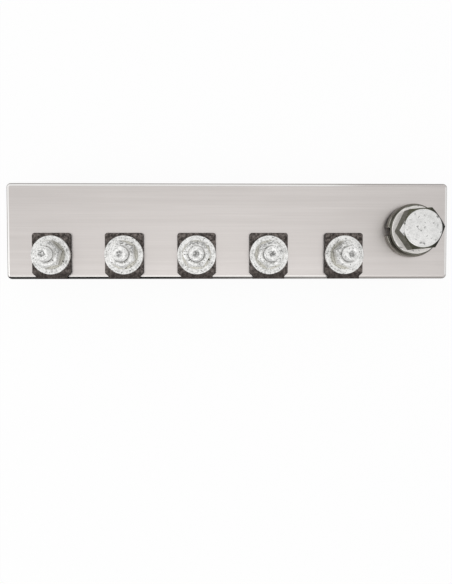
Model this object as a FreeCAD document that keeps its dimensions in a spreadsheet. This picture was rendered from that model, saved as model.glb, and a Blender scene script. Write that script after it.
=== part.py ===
"""Fuse busbar: a flat plated bar with a row of fuse terminals along one edge and a feed bolt.

Sizes are in millimetres and angles in degrees. +X runs along the bar towards the feed bolt,
+Y across it away from the terminals, and +Z out of its face. The origin lies under the middle
of the bar, level with the lowest point of the hardware behind it.

Each terminal is a hexagon bolt that comes through the bar from behind and clamps a fuse tab
under a flat washer, a spring washer and a nut. The feed bolt goes the other way: its head is
in front, over a flat washer and an open spring washer, and its nut is behind the bar.
"""
import FreeCAD, Part
import math
import operator
import os
import Sketcher
from FreeCAD import Placement, Rotation, Vector
from types import SimpleNamespace

PARTS_FOLDER = "parts"

# The driving dimensions: alias, number, meaning.
SIZES = (
    ("bar_length", 185, "busbar, along the row of terminals"),
    ("bar_width", 40, "busbar, across the row"),
    ("bar_thickness", 5, "busbar"),
    ("bar_corner_radius", 1.8, "busbar, the four corners seen from the front"),
    ("bar_edge_radius", 1.5, "busbar, the rounding along its long edges and ends"),
    ("terminal_count", 5, "fuse terminals along the bar"),
    ("terminal_end_distance", 19.1, "first terminal from the left end"),
    ("terminal_feed_distance", 28.5, "last terminal to the feed bolt, along the bar"),
    ("terminal_last_extra", 1.4, "further step to the last terminal, beyond the pitch of the others"),
    ("terminal_edge_distance", 9.9, "terminals from the lower edge"),
    ("terminal_hole_diameter", 6.6, "hole in the bar and in each tab"),
    ("feed_end_distance", 16, "feed bolt from the right end"),
    ("feed_edge_distance", 20, "feed bolt from the lower edge"),
    ("feed_hole_diameter", 10.5, "hole in the bar for the feed bolt"),
    ("tab_width", 16, "fuse tab"),
    ("tab_top_reach", 9.2, "fuse tab, above its hole"),
    ("tab_thickness", 1.5, "fuse tab"),
    ("tab_corner_radius", 1.1, "fuse tab, the two upper corners"),
    ("tab_neck_width", 13.2, "fuse tab, where it narrows at the bar's edge"),
    ("tab_neck_length", 1.1, "fuse tab, straight part of the neck"),
    ("tab_shoulder_rise", 1.4, "fuse tab, slope between neck and full width"),
    ("tab_edge_chamfer", 0.25, "fuse tab, broken edge round its face"),
    ("terminal_thread_diameter", 6, "terminal bolt and nut"),
    ("terminal_across_flats", 10, "terminal bolt head and nut"),
    ("terminal_head_height", 4, "terminal bolt head"),
    ("terminal_bolt_protrusion", 4.1, "terminal bolt, end above the nut"),
    ("terminal_dimple_diameter", 3.2, "turned dimple in the terminal bolt's end"),
    ("terminal_dimple_depth", 0.8, "turned dimple in the terminal bolt's end"),
    ("terminal_washer_diameter", 16, "flat washer on the tab"),
    ("terminal_washer_bore", 6.4, "flat washer on the tab"),
    ("terminal_washer_thickness", 1.6, "flat washer on the tab"),
    ("terminal_spring_diameter", 11.8, "spring washer under the nut"),
    ("terminal_spring_bore", 6.2, "spring washer under the nut"),
    ("terminal_spring_thickness", 1.6, "spring washer under the nut"),
    ("terminal_spring_gap", 1, "spring washer under the nut, slit in its side"),
    ("terminal_spring_lean", 0.8, "spring washer under the nut, slope of the slit"),
    ("terminal_nut_height", 5, "terminal nut"),
    ("feed_thread_diameter", 10, "feed bolt and nut"),
    ("feed_across_flats", 16, "feed bolt head and nut"),
    ("feed_head_height", 6.4, "feed bolt head"),
    ("feed_bolt_protrusion", 0.9, "feed bolt, end beyond its nut"),
    ("feed_washer_diameter", 20.4, "flat washer under the feed bolt's head"),
    ("feed_washer_bore", 10.5, "flat washer under the feed bolt's head"),
    ("feed_washer_thickness", 2, "flat washer under the feed bolt's head"),
    ("feed_spring_overhang", 0.8, "open spring washer, rim beyond the flat washer's"),
    ("feed_spring_bore", 10.4, "open spring washer on the bar"),
    ("feed_spring_thickness", 2.4, "open spring washer on the bar"),
    ("feed_spring_rise", 1.7, "open spring washer, climb from its low end to its high end"),
    ("feed_spring_gap_angle", 17, "open spring washer, gap between its ends"),
    ("feed_spring_end_angle", 191, "open spring washer, direction of its low end"),
    ("feed_head_angle", 5, "feed bolt, direction of one corner of its head"),
    ("feed_nut_height", 8, "feed nut"),
    ("nut_first_angle", 14, "first terminal nut, direction of one corner"),
    ("nut_step_angle", 22, "further turn from one terminal nut to the next"),
    ("spring_first_angle", 205, "first terminal spring washer, direction of its slit"),
    ("spring_step_angle", 58, "further turn from one spring washer to the next"),
    ("hex_rim_inset", 0.45, "hexagons, from the flats to the round rim of the end face"),
    ("hex_rim_angle", 30, "hexagons, slope of the rim"),
    ("thread_clearance", 0.06, "bolt to nut, all round"),
    ("thread_end_chamfer", 0.5, "bolts, at the end of the thread"),
    ("nut_countersink", 0.6, "nuts, at both ends of the bore"),
    ("washer_edge_chamfer", 0.35, "flat washers, upper outer edge"),
    ("cutter_overrun", 1, "how far a turned cut runs past the corners of a hexagon"),
)

HEX_CORNERS_PER_FLATS = 2 / math.sqrt(3)
FULL_TURN = 360
HALF_TURN = 180
SIGNS = {"+": operator.add, "-": operator.sub, "*": operator.mul, "/": operator.truediv}


class Size:
    """A dimension: its number now, and the expression that ties it to the sheet."""

    def __init__(self, number, text):
        self.number = number
        self.text = text

    def __add__(self, other):
        return combined(self, "+", other)

    def __sub__(self, other):
        return combined(self, "-", other)

    def __mul__(self, other):
        return combined(self, "*", other)

    def __truediv__(self, other):
        return combined(self, "/", other)

    def __rsub__(self, other):
        return combined(other, "-", self)

    def __neg__(self):
        return 0 - self


def as_size(value):
    return value if isinstance(value, Size) else Size(value, repr(value))


def combined(left, sign, right):
    left = as_size(left)
    right = as_size(right)
    return Size(SIGNS[sign](left.number, right.number), f"({left.text} {sign} {right.text})")


def larger(one, other):
    return Size(max(one.number, other.number), f"max({one.text}; {other.text})")


def tangent(angle):
    return Size(math.tan(math.radians(angle.number)), f"tan({angle.text})")


def make_sheet():
    """Put the driving dimensions in a spreadsheet and return them by alias."""
    sheet = doc.addObject("Spreadsheet::Sheet", "sizes")
    for row, (alias, number, meaning) in enumerate(SIZES, start=1):
        sheet.set(f"A{row}", meaning)
        sheet.set(f"B{row}", str(number))
        sheet.setAlias(f"B{row}", alias)
    doc.recompute()
    sizes = {alias: Size(float(sheet.get(alias)), f"sizes.{alias}") for alias, _, _ in SIZES}
    return SimpleNamespace(**sizes)


def new_body(label, x, y, z, rotation=Rotation()):
    """A body for one piece, with its place tied to the sheet."""
    body = doc.addObject("PartDesign::Body", label)
    body.Label = label
    body.Placement = Placement(Vector(x.number, y.number, z.number), rotation)
    for axis, place in (("x", x), ("y", y), ("z", z)):
        body.setExpression(f"Placement.Base.{axis}", place.text)
    return body


def turned(angle):
    return Rotation(Vector(0, 0, 1), angle.number)


def new_sketch(body, name, role):
    """A sketch on one of the body's own origin planes."""
    sketch = body.newObject("Sketcher::SketchObject", name)
    plane = next(feature for feature in body.Origin.OriginFeatures if feature.Role == role)
    sketch.AttachmentSupport = (plane, [""])
    sketch.MapMode = "FlatFace"
    return sketch


def bind_constraint(sketch, size, kind, *where):
    index = sketch.addConstraint(Sketcher.Constraint(kind, *where, size.number))
    sketch.setExpression(f"Constraints[{index}]", size.text)


def place_point(sketch, geometry, vertex, x, y):
    """Tie a point of the sketch to its distances from the sketch's origin."""
    for kind, axis, distance in (("DistanceX", -2, x), ("DistanceY", -1, y)):
        if distance.number == 0:
            sketch.addConstraint(Sketcher.Constraint("PointOnObject", geometry, vertex, axis))
        else:
            bind_constraint(sketch, distance, kind, -1, 1, geometry, vertex)


def draw_outline(sketch, corners):
    """A closed outline of straight lines through the given corners."""
    corners = [(as_size(x), as_size(y)) for x, y in corners]
    points = [Vector(x.number, y.number, 0) for x, y in corners]
    lines = [
        sketch.addGeometry(Part.LineSegment(start, end))
        for start, end in zip(points, points[1:] + points[:1])
    ]
    for line, following in zip(lines, lines[1:] + lines[:1]):
        sketch.addConstraint(Sketcher.Constraint("Coincident", line, 2, following, 1))
    for line, (x, y) in zip(lines, corners):
        place_point(sketch, line, 1, x, y)


def draw_circle(sketch, diameter, x=Size(0, "0"), y=Size(0, "0")):
    centre = Vector(x.number, y.number, 0)
    circle = sketch.addGeometry(Part.Circle(centre, Vector(0, 0, 1), diameter.number / 2))
    place_point(sketch, circle, 3, x, y)
    bind_constraint(sketch, diameter, "Diameter", circle)


def draw_hexagon(sketch, across_flats):
    """A regular hexagon about the sketch's origin, with one corner on its horizontal axis."""
    across_corners = across_flats * HEX_CORNERS_PER_FLATS
    radius = across_corners.number / 2
    angles = [math.radians(60 * corner) for corner in range(6)]
    points = [Vector(radius * math.cos(angle), radius * math.sin(angle), 0) for angle in angles]
    lines = [
        sketch.addGeometry(Part.LineSegment(start, end))
        for start, end in zip(points, points[1:] + points[:1])
    ]
    circle = sketch.addGeometry(Part.Circle(Vector(), Vector(0, 0, 1), radius), True)
    sketch.addConstraint(Sketcher.Constraint("Coincident", circle, 3, -1, 1))
    for line, following in zip(lines, lines[1:] + lines[:1]):
        sketch.addConstraint(Sketcher.Constraint("Coincident", line, 2, following, 1))
        sketch.addConstraint(Sketcher.Constraint("PointOnObject", line, 1, circle))
    for line in lines[1:]:
        sketch.addConstraint(Sketcher.Constraint("Equal", lines[0], line))
    sketch.addConstraint(Sketcher.Constraint("PointOnObject", lines[0], 1, -1))
    bind_constraint(sketch, across_corners, "Diameter", circle)


def add_pad(body, sketch, length):
    pad = body.newObject("PartDesign::Pad", "pad")
    pad.Profile = sketch
    pad.setExpression("Length", length.text)
    doc.recompute()
    return pad


def checked_cut(body, cut, before):
    """Recompute a cut and make sure that it took something away."""
    doc.recompute()
    if cut.Shape.isNull() or cut.Shape.Volume >= before:
        raise RuntimeError(f"{cut.Label} of {body.Label} cuts nothing")
    return cut


def add_through_cut(body, sketch):
    """Cut the sketch right through the body, towards the sketch plane's front."""
    before = body.Shape.Volume
    pocket = body.newObject("PartDesign::Pocket", "through_cut")
    pocket.Profile = sketch
    pocket.Type = "ThroughAll"
    pocket.Reversed = True
    return checked_cut(body, pocket, before)


def add_turned_cut(body, sketch):
    """Cut the sketch all round the body's own axis."""
    before = body.Shape.Volume
    groove = body.newObject("PartDesign::Groove", "turned_cut")
    groove.Profile = sketch
    groove.ReferenceAxis = (sketch, ["V_Axis"])
    groove.Angle = FULL_TURN
    return checked_cut(body, groove, before)


def edges_where(feature, test):
    return [f"Edge{n}" for n, edge in enumerate(feature.Shape.Edges, start=1) if test(edge)]


def add_edge_finish(body, kind, feature, test, amount):
    """Chamfer or fillet the edges of a feature that pass the test."""
    finish = body.newObject(f"PartDesign::{kind}", kind.lower())
    finish.Base = (feature, edges_where(feature, test))
    finish.setExpression("Size" if kind == "Chamfer" else "Radius", amount.text)
    doc.recompute()
    return finish


def is_upright(edge):
    return isinstance(edge.Curve, Part.Line) and abs(edge.Curve.Direction.z) > 0.999


def is_level(edge, height=None):
    """Whether an edge lies in one level plane, at the given height if there is one."""
    flat = edge.BoundBox.ZLength < 1e-6
    return flat and (height is None or abs(edge.BoundBox.ZMin - height.number) < 1e-6)


def is_round(edge, diameter):
    return isinstance(edge.Curve, Part.Circle) and abs(edge.Curve.Radius * 2 - diameter.number) < 1e-6


def terminal_offset(place):
    """Distance of a terminal from the bar's left end. The last one stands a little further on."""
    last = dims.bar_length - dims.feed_end_distance - dims.terminal_feed_distance
    if place == terminal_count - 1:
        return last
    row = last - dims.terminal_last_extra - dims.terminal_end_distance
    return dims.terminal_end_distance + row * (place / (terminal_count - 1))


def rim_cut(across_flats, end, inwards):
    """The triangle that, turned about the axis, takes the corners off one end of a hexagon."""
    rim = across_flats / 2 - dims.hex_rim_inset
    outside = across_flats * HEX_CORNERS_PER_FLATS / 2 + dims.cutter_overrun
    fall = (outside - rim) * tangent(dims.hex_rim_angle) * inwards
    return ((rim, end), (outside, end), (outside, as_size(end) + fall))


def make_busbar():
    body = new_body("busbar", -dims.bar_length / 2, -dims.bar_width / 2, bar_back)
    outline = new_sketch(body, "bar_outline", "XY_Plane")
    length = dims.bar_length
    width = dims.bar_width
    draw_outline(outline, ((0, 0), (length, 0), (length, width), (0, width)))
    bar = add_pad(body, outline, dims.bar_thickness)
    bar = add_edge_finish(body, "Fillet", bar, is_upright, dims.bar_corner_radius)
    add_edge_finish(body, "Fillet", bar, is_level, dims.bar_edge_radius)
    holes = new_sketch(body, "bar_holes", "XY_Plane")
    for place in range(terminal_count):
        x = terminal_offset(place)
        draw_circle(holes, dims.terminal_hole_diameter, x, dims.terminal_edge_distance)
    feed_offset = dims.bar_length - dims.feed_end_distance
    draw_circle(holes, dims.feed_hole_diameter, feed_offset, dims.feed_edge_distance)
    add_through_cut(body, holes)
    return body


def make_tab(label, x):
    """A fuse's end tab, cut off level with the bar's lower edge."""
    body = new_body(label, x - dims.tab_width / 2, -dims.bar_width / 2, bar_face)
    outline = new_sketch(body, "tab_outline", "XY_Plane")
    width = dims.tab_width
    neck_left = (dims.tab_width - dims.tab_neck_width) / 2
    neck_right = neck_left + dims.tab_neck_width
    shoulder = dims.tab_neck_length + dims.tab_shoulder_rise
    top = dims.terminal_edge_distance + dims.tab_top_reach
    draw_outline(outline, (
        (neck_left, 0), (neck_right, 0), (neck_right, dims.tab_neck_length), (width, shoulder),
        (width, top), (0, top), (0, shoulder), (neck_left, dims.tab_neck_length),
    ))
    tab = add_pad(body, outline, dims.tab_thickness)

    def is_upper_corner(edge):
        return is_upright(edge) and abs(edge.BoundBox.YMin - top.number) < 1e-6

    tab = add_edge_finish(body, "Fillet", tab, is_upper_corner, dims.tab_corner_radius)

    def is_face_edge(edge):
        return is_level(edge, dims.tab_thickness) and edge.BoundBox.YMax > 1e-6

    add_edge_finish(body, "Chamfer", tab, is_face_edge, dims.tab_edge_chamfer)
    hole = new_sketch(body, "tab_hole", "XY_Plane")
    draw_circle(hole, dims.terminal_hole_diameter, width / 2, dims.terminal_edge_distance)
    add_through_cut(body, hole)
    return body


def make_flat_washer(label, x, y, z, diameter, bore, thickness):
    body = new_body(label, x, y, z)
    ring = new_sketch(body, "washer_ring", "XY_Plane")
    draw_circle(ring, diameter)
    draw_circle(ring, bore)
    washer = add_pad(body, ring, thickness)

    def is_upper_rim(edge):
        return is_round(edge, diameter) and is_level(edge, thickness)

    add_edge_finish(body, "Chamfer", washer, is_upper_rim, dims.washer_edge_chamfer)
    return body


def make_closed_spring_washer(label, x, y, z, turn):
    """A split spring washer pressed flat under its nut: a ring with a slanting slit."""
    body = new_body(label, x, y, z, turned(turn))
    ring = new_sketch(body, "spring_ring", "XY_Plane")
    draw_circle(ring, dims.terminal_spring_diameter)
    draw_circle(ring, dims.terminal_spring_bore)
    add_pad(body, ring, dims.terminal_spring_thickness)
    slit = new_sketch(body, "spring_slit", "YZ_Plane")
    gap = dims.terminal_spring_gap
    lean = dims.terminal_spring_lean
    thickness = dims.terminal_spring_thickness
    draw_outline(slit, ((0, 0), (gap, 0), (gap + lean, thickness), (lean, thickness)))
    add_through_cut(body, slit)
    return body


def make_open_spring_washer(label, x, y, z):
    """A split spring washer that isn't drawn tight: a flat section that climbs round the bolt."""
    body = new_body(label, x, y, z, turned(dims.feed_spring_end_angle))
    section = new_sketch(body, "spring_section", "XZ_Plane")
    inner = dims.feed_spring_bore / 2
    outer = dims.feed_washer_diameter / 2 + dims.feed_spring_overhang
    thickness = dims.feed_spring_thickness
    draw_outline(section, ((inner, 0), (outer, 0), (outer, thickness), (inner, thickness)))
    doc.recompute()
    coil = body.newObject("PartDesign::AdditiveHelix", "spring_coil")
    coil.Profile = section
    coil.ReferenceAxis = (section, ["V_Axis"])
    coil.Mode = "height-turns-angle"
    coil.setExpression("Height", dims.feed_spring_rise.text)
    coil.setExpression("Turns", (1 - dims.feed_spring_gap_angle / FULL_TURN).text)
    doc.recompute()
    return body


def make_bolt(label, x, y, z, rotation, across_flats, head_height, thread_diameter, length):
    """A hexagon bolt that starts at the outer end of its head, with its thread along its own +Z."""
    body = new_body(label, x, y, z, rotation)
    hexagon = new_sketch(body, "head_outline", "XY_Plane")
    draw_hexagon(hexagon, across_flats)
    add_pad(body, hexagon, head_height)
    rim = new_sketch(body, "head_rim", "XZ_Plane")
    draw_outline(rim, rim_cut(across_flats, 0, 1))
    add_turned_cut(body, rim)
    shank = new_sketch(body, "shank_section", "XY_Plane")
    draw_circle(shank, thread_diameter)
    bolt = add_pad(body, shank, length)

    def is_thread_end(edge):
        return is_round(edge, thread_diameter) and is_level(edge, length)

    add_edge_finish(body, "Chamfer", bolt, is_thread_end, dims.thread_end_chamfer)
    return body


def add_dimple(body, length):
    """The turned dimple in the middle of a terminal bolt's end."""
    dimple = new_sketch(body, "end_dimple", "XZ_Plane")
    rim = dims.terminal_dimple_diameter / 2
    draw_outline(dimple, ((0, length), (0, length - dims.terminal_dimple_depth), (rim, length)))
    add_turned_cut(body, dimple)


def make_nut(label, x, y, z, rotation, across_flats, height, thread_diameter):
    body = new_body(label, x, y, z, rotation)
    bore = thread_diameter + dims.thread_clearance * 2
    hexagon = new_sketch(body, "nut_outline", "XY_Plane")
    draw_hexagon(hexagon, across_flats)
    draw_circle(hexagon, bore)
    add_pad(body, hexagon, height)
    for end, inwards in ((0, 1), (height, -1)):
        rim = new_sketch(body, "nut_rim", "XZ_Plane")
        draw_outline(rim, rim_cut(across_flats, end, inwards))
        nut = add_turned_cut(body, rim)

    def is_bore_end(edge):
        return is_round(edge, bore) and is_level(edge)

    add_edge_finish(body, "Chamfer", nut, is_bore_end, dims.nut_countersink)
    return body


def make_terminal(place):
    """One terminal, from the bolt head behind the bar to the nut in front."""
    number = place + 1
    x = terminal_offset(place) - dims.bar_length / 2
    y = dims.terminal_edge_distance - dims.bar_width / 2
    washer_seat = bar_face + dims.tab_thickness
    spring_seat = washer_seat + dims.terminal_washer_thickness
    nut_seat = spring_seat + dims.terminal_spring_thickness
    nut_top = nut_seat + dims.terminal_nut_height
    head_end = bar_back - dims.terminal_head_height
    length = nut_top - head_end + dims.terminal_bolt_protrusion
    nut_turn = dims.nut_first_angle + dims.nut_step_angle * place
    spring_turn = dims.spring_first_angle + dims.spring_step_angle * place
    bolt = make_bolt(
        f"terminal_bolt_{number}", x, y, head_end, turned(nut_turn), dims.terminal_across_flats,
        dims.terminal_head_height, dims.terminal_thread_diameter, length,
    )
    add_dimple(bolt, length)
    washer = make_flat_washer(
        f"terminal_washer_{number}", x, y, washer_seat, dims.terminal_washer_diameter,
        dims.terminal_washer_bore, dims.terminal_washer_thickness,
    )
    nut = make_nut(
        f"terminal_nut_{number}", x, y, nut_seat, turned(nut_turn), dims.terminal_across_flats,
        dims.terminal_nut_height, dims.terminal_thread_diameter,
    )
    return [
        bolt,
        make_tab(f"fuse_tab_{number}", x),
        washer,
        make_closed_spring_washer(f"terminal_spring_washer_{number}", x, y, spring_seat, spring_turn),
        nut,
    ]


def make_feed():
    """The feed bolt's hardware, from its head in front of the bar to its nut behind."""
    x = dims.bar_length / 2 - dims.feed_end_distance
    y = dims.feed_edge_distance - dims.bar_width / 2
    washer_seat = bar_face + dims.feed_spring_rise + dims.feed_spring_thickness
    head_seat = washer_seat + dims.feed_washer_thickness
    head_end = head_seat + dims.feed_head_height
    nut_back = bar_back - dims.feed_nut_height
    length = head_end - nut_back + dims.feed_bolt_protrusion
    turn = turned(dims.feed_head_angle)
    point_down = turn * Rotation(Vector(1, 0, 0), HALF_TURN)
    bolt = make_bolt(
        "feed_bolt", x, y, head_end, point_down, dims.feed_across_flats,
        dims.feed_head_height, dims.feed_thread_diameter, length,
    )
    washer = make_flat_washer(
        "feed_flat_washer", x, y, washer_seat, dims.feed_washer_diameter,
        dims.feed_washer_bore, dims.feed_washer_thickness,
    )
    nut = make_nut(
        "feed_nut", x, y, nut_back, turn, dims.feed_across_flats,
        dims.feed_nut_height, dims.feed_thread_diameter,
    )
    return [bolt, washer, make_open_spring_washer("feed_spring_washer", x, y, bar_face), nut]


def check_document(pieces):
    """Stop on any failed object or broken solid."""
    for item in doc.Objects:
        if "Invalid" in item.State or "Error" in item.State:
            raise RuntimeError(f"{item.Label} failed: {item.State}")
    for piece in pieces:
        shape = piece.Shape
        if shape.isNull() or not shape.isValid() or len(shape.Solids) != 1:
            raise RuntimeError(f"{piece.Label} is not one sound solid")


doc = FreeCAD.newDocument("fuse_busbar")
dims = make_sheet()
terminal_count = int(dims.terminal_count.number)
bar_back = larger(dims.feed_nut_height + dims.feed_bolt_protrusion, dims.terminal_head_height)
bar_face = bar_back + dims.bar_thickness

pieces = [make_busbar()]
for place in range(terminal_count):
    pieces += make_terminal(place)
pieces += make_feed()
doc.recompute()
check_document(pieces)
os.makedirs(PARTS_FOLDER, exist_ok=True)
for piece in pieces:
    piece.Shape.exportStep(f"{PARTS_FOLDER}/{piece.Label}.step")
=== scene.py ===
"""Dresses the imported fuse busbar: brushed bar, dark fuse tabs, plated hardware, and a plain stage.

Shapes are modelled in millimetres in the part's own frame and scaled to metres at the end. +X runs
along the bar towards the feed bolt, +Y across it away from the terminals, +Z out of its face.
"""
import bmesh
import bpy
import math
from bpy.props import FloatProperty, FloatVectorProperty, PointerProperty
from bpy.types import Operator, Panel, PropertyGroup
from mathutils import Color, Matrix, Vector


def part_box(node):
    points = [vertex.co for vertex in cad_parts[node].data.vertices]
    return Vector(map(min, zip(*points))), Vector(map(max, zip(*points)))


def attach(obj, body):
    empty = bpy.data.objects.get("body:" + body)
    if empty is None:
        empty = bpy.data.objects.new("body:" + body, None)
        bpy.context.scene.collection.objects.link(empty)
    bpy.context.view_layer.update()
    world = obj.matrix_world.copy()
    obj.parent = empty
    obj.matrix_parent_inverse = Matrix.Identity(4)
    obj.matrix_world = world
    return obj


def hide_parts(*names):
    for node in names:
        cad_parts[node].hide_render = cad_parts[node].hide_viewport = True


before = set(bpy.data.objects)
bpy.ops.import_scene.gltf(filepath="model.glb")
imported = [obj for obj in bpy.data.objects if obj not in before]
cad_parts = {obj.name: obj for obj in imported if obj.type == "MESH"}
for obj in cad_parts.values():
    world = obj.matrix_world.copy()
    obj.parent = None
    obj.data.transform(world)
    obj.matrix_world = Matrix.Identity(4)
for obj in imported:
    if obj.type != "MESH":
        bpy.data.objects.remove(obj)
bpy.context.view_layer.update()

bl_info = {
    "name": "Fuse busbar",
    "version": (1, 0, 0),
    "blender": (4, 5, 0),
    "location": "3D View > Sidebar > Fuse busbar",
    "description": "Models a fuse busbar with its terminals, its feed bolt and a plain stage",
    "category": "Add Mesh",
}

BODY = "root"
PLACES = range(1, 6)

# Modelling. Lengths are in millimetres, and points nearer than NEAR count as one.
MM = 0.001
NEAR = 1e-4
UPWARDS = (0, 0, 1)
UPRIGHT = 0.999
ROUND_STEPS = 96
HEX_SIDE = math.tau / 6
SHARP_EDGE = math.radians(20)
CREASE = math.radians(35)

# Threads. The step is in millimetres, depth and run-out are shares of the pitch, crest and flank
# shares of half of it.
THREAD_STEP = 0.08
THREAD_DEPTH = 0.6
CREST_START = 0.92
FLANK_WIDTH = 0.75
SHORT_RUNOUT = 0.25
TURNS_IN_NUT = 2

# Numbers stored at the corners of turned pieces. Nuts carry a painted dark reflection on the side towards a
# point, and more and more between two distances from their axis, in millimetres.
FROM_AXIS = "from_axis"
DARK_REFLECTION_SIDE = "smeared"
DARK_REFLECTION_TOWARDS = Vector((-13, 30, 0))
DARK_REFLECTION_RING = (3.4, 4.4)

# Where the painted highlight on the long edges is left off near the feed bolt, where the painted shade on
# the lower edge fades, and where tabs darken towards their neck: start and full, along the bar or across
# it, in metres.
HIGHLIGHT_LEFT_OFF_ALONG = (0.04, 0.06)
LOWER_EDGE_SHADE_ALONG = (0.06, -0.04)
NECK_ACROSS = (-0.0165, -0.0182)

# Where a painted highlight on the feed bolt's set starts and is full, in millimetres along the bar
# from the head's left flat, the flat washer's axis and the spring washer's left rim.
HEAD_HIGHLIGHT = (0.8, 0.2)
WASHER_HIGHLIGHT = (-3, -6)
SPRING_HIGHLIGHT = (2, 1)

# Patterns. Specks are counted to the metre, rings to the millimetre, and the depth is in metres.
SPECK_SCALE = 1500
RING_SCALE = 1.6
BUMP_DEPTH = 0.0001

# The room in reflections: directions, and how far along them its ceiling and walls start and are full.
CEILING_FADE = (0.7, 0.84)
BRIGHTEST = (0, -0.387, 0.922)
RIGHT_WALL = (0.94, -0.34, 0)
RIGHT_WALL_FADE = (-0.1, 0.15)
NEAR_WALL = (-0.6, -0.8, 0)
NEAR_WALL_FADE = (0.5, 0.6)

# Floor and camera, in metres and pixels.
FLOOR_HALF = 2
PAPER_LIFT = 0.92
CLIP_START = 0.01
IMAGE_LONG_SIDE = 584


def mm(length):
    """A length in metres, in millimetres."""
    return length / MM


def along_bar(start, offsets):
    """Places along the bar in metres, from a start and offsets in millimetres."""
    return tuple((start + offset) * MM for offset in offsets)


def node_box(node):
    """Lowest and highest corner of a node of the frame, in millimetres."""
    low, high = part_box(node)
    return low / MM, high / MM


def node_axis(node):
    """The upright axis through the middle of a node, as a point at height zero."""
    low, high = node_box(node)
    return Vector(((low.x + high.x) / 2, (low.y + high.y) / 2, 0))


def node_offsets(node, axis):
    """A node's corners as seen from an upright axis, in millimetres."""
    return [vert.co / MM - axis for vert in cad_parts[node].data.vertices]


def node_reach(node, axis):
    """Least and greatest distance of a node's corners from an upright axis, in millimetres."""
    reaches = [offset.xy.length for offset in node_offsets(node, axis)]
    return min(reaches), max(reaches)


def across_flats(node):
    """Across flats of a hexagon of the frame, from its farthest corner."""
    return 2 * node_reach(node, node_axis(node))[1] * math.cos(HEX_SIDE / 2)


def corner_angle(node):
    """Direction of one corner of a hexagon of the frame, from its own axis."""
    far = max(node_offsets(node, node_axis(node)), key=lambda offset: offset.xy.length)
    return math.atan2(far.y, far.x)


def length_prop(label, about, default):
    return FloatProperty(name=label, description=about, default=default, min=0, precision=5, unit="LENGTH")


def angle_prop(label, about, degrees):
    return FloatProperty(name=label, description=about, default=math.radians(degrees), subtype="ANGLE")


def level_prop(label, about, default, subtype="NONE", unit="NONE"):
    return FloatProperty(name=label, description=about, default=default, min=0, subtype=subtype, unit=unit)


def colour_prop(label, about, default):
    return FloatVectorProperty(
        name=label, description=about, default=default, min=0, max=1, size=3, subtype="COLOR",
    )


def place_prop(label, about, default):
    return FloatVectorProperty(
        name=label, description=about, default=default, size=3, subtype="TRANSLATION", unit="LENGTH",
    )


class BusbarSizes(PropertyGroup):
    """Sizes of the bar, the tabs and the hardware that the frame doesn't give directly."""

    bar_corner: length_prop("Bar corner", "Corners of the bar seen from the front", 0.0018)
    bar_edge: length_prop("Bar edge", "Rounding along the bar's edges", 0.0015)
    tab_corner: length_prop("Tab corner", "Upper corners of a fuse tab", 0.0011)
    tab_neck_width: length_prop("Tab neck width", "Width of a tab at the bar's edge", 0.0132)
    tab_neck_length: length_prop("Tab neck length", "Straight part of a tab's neck", 0.0011)
    tab_shoulder: length_prop("Tab shoulder", "Slope between a tab's neck and its full width", 0.0014)
    tab_edge: length_prop("Tab edge", "Rolled edge round a tab's face", 0.00025)
    terminal_pitch: length_prop("Terminal thread pitch", "Rise of one turn of the thread", 0.001)
    dimple: length_prop("End dimple", "Diameter of the dimple in a terminal bolt's end", 0.0032)
    dimple_depth: length_prop("End dimple depth", "Depth of that dimple", 0.0008)
    terminal_spring_gap: length_prop("Terminal spring gap", "Slit of the terminal spring washers", 0.001)
    terminal_spring_lean: length_prop("Terminal spring lean", "Slope of that slit", 0.0008)
    spring_first: angle_prop("First slit", "Direction of the first terminal spring washer's slit", 205)
    spring_step: angle_prop("Slit step", "Further turn from one spring washer to the next", 58)
    feed_pitch: length_prop("Feed thread pitch", "Rise of one turn of the thread", 0.0015)
    feed_spring_thickness: length_prop("Feed spring thickness", "Section of that washer", 0.0024)
    feed_spring_gap: angle_prop("Feed spring gap", "Gap between the ends of that washer", 17)
    feed_spring_end: angle_prop("Feed spring end", "Direction of the low end of that washer", 191)
    feed_spring_edge: length_prop("Feed spring edge", "Rounding of that washer's edges", 0.00024)
    thread_clearance: length_prop("Thread clearance", "Bolt to nut, all round", 0.00006)
    thread_chamfer: length_prop("Thread chamfer", "Chamfer at the end of a bolt", 0.0005)
    countersink: length_prop("Countersink", "At both ends of a nut's bore", 0.0003)
    hex_rim: length_prop("Hexagon rim", "From a hexagon's flats to its round rim", 0.00045)
    hex_slope: angle_prop("Hexagon slope", "Slope of a hexagon's rim", 30)
    washer_face: length_prop("Washer face", "Height of the round face under a bolt head", 0.0004)
    soft_edge: length_prop("Soft edge", "Rounding of the other hardware's edges", 0.00012)
    washer_edge: length_prop("Washer edge", "Rounding of the terminals' flat washers", 0.0003)
    feed_washer_edge: length_prop("Feed washer edge", "Rounding of the feed bolt's flat washer", 0.0005)


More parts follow.
